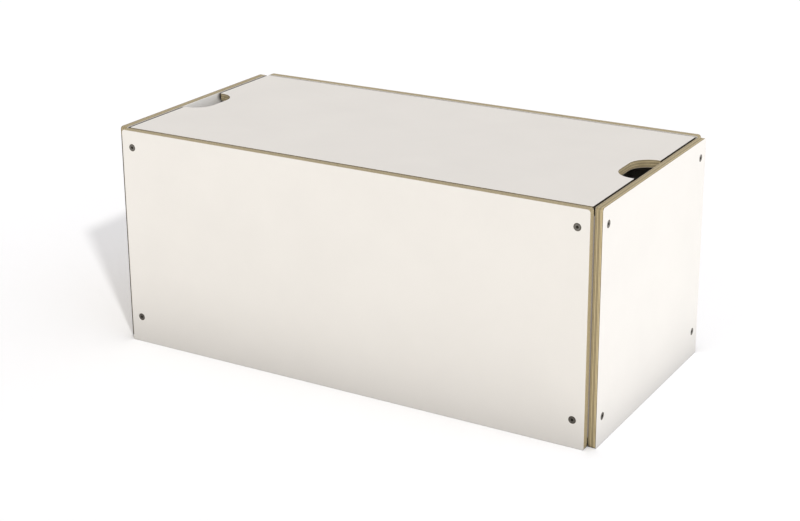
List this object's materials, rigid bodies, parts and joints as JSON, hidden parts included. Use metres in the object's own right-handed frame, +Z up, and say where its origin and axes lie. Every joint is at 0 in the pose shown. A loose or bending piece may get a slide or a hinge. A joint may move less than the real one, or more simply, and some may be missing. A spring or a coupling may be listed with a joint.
{
  "type": "wooden toy box",
  "caption": "Long low toy chest of white laminated plywood with bare layered edges, flush bolts and a lift-off lid with finger notches.",
  "frame": {"origin": "on the ground, under the centre of the box", "axes": "+X along the long side, front wall towards -Y, +Z up"},
  "size_m": [1, 0.5, 0.43],
  "materials": {
    "laminated_board": "satin white laminate on both faces, bare layered birch edges",
    "post_wood": "grey painted",
    "batten_wood": "planed and oiled",
    "bolt_steel": "dull zinc",
    "sleeve_steel": "yellow zinc",
    "screw_steel": "bright zinc"
  },
  "bodies": {
    "box": {"floor_panel": "laminated_board", "floor_post_screws": "screw_steel", "front_panel": "laminated_board", "front_panel_bolts": "bolt_steel", "front_floor_batten": "batten_wood", "front_batten_screws": "screw_steel", "back_panel": "laminated_board", "back_panel_bolts": "bolt_steel", "back_floor_batten": "batten_wood", "back_batten_screws": "screw_steel", "left_end_panel": "laminated_board", "left_panel_bolts": "bolt_steel", "left_floor_batten": "batten_wood", "left_batten_screws": "screw_steel", "right_end_panel": "laminated_board", "right_panel_bolts": "bolt_steel", "right_floor_batten": "batten_wood", "right_batten_screws": "screw_steel", "front_left_post": "post_wood", "front_left_post_sleeves": "sleeve_steel", "front_right_post": "post_wood", "front_right_post_sleeves": "sleeve_steel", "back_left_post": "post_wood", "back_left_post_sleeves": "sleeve_steel", "back_right_post": "post_wood", "back_right_post_sleeves": "sleeve_steel"},
    "lid": {"lid": "laminated_board"}
  },
  "joints": [
    {"name": "lid_lift", "type": "slide", "parent": "box", "child": "lid", "axis": [0, 0, 1], "range_m": [0, 0.12]}
  ]
}
